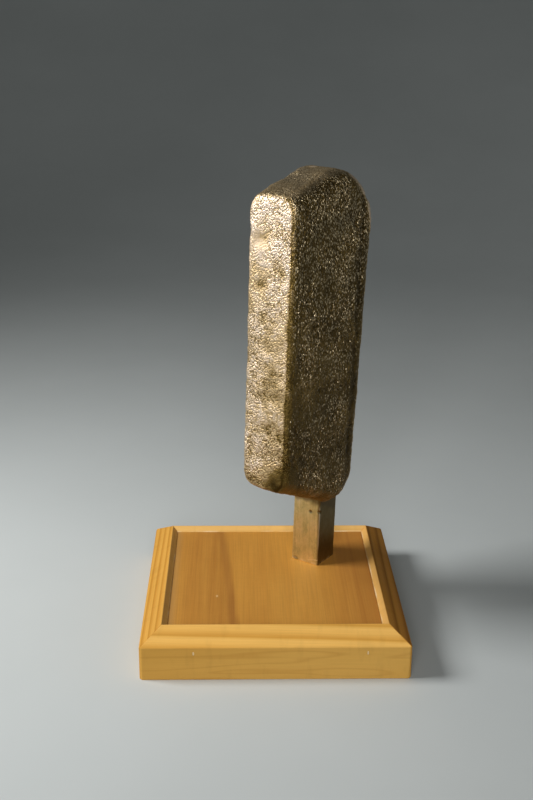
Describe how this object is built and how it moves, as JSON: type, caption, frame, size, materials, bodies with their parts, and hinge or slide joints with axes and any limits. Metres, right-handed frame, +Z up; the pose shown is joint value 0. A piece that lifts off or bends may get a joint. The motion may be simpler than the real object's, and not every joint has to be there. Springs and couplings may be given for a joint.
{
  "type": "cast metal ingot on a wooden display stand",
  "caption": "Brass-coloured metal ingot cast in a drafted open mould, standing on end on a square post over a mitred wooden stand.",
  "frame": {"origin": "centre of the stand's underside, where it rests on the floor", "axes": "+Z up, -Y to the front rail, +X to the right of someone who faces the front rail"},
  "size_m": [0.2032, 0.2032, 0.3639],
  "materials": {
    "cast_metal": "rough as-cast surface",
    "bar_metal": "satin drawn bar",
    "screw_steel": "plain",
    "board": "satin varnish",
    "varnished_pine": "satin varnish"
  },
  "bodies": {
    "root": {"ingot": "cast_metal", "post": "bar_metal", "mounting_screw": "screw_steel", "panel": "board", "front_rail": "varnished_pine", "right_rail": "varnished_pine", "back_rail": "varnished_pine", "left_rail": "varnished_pine"}
  },
  "joints": []
}
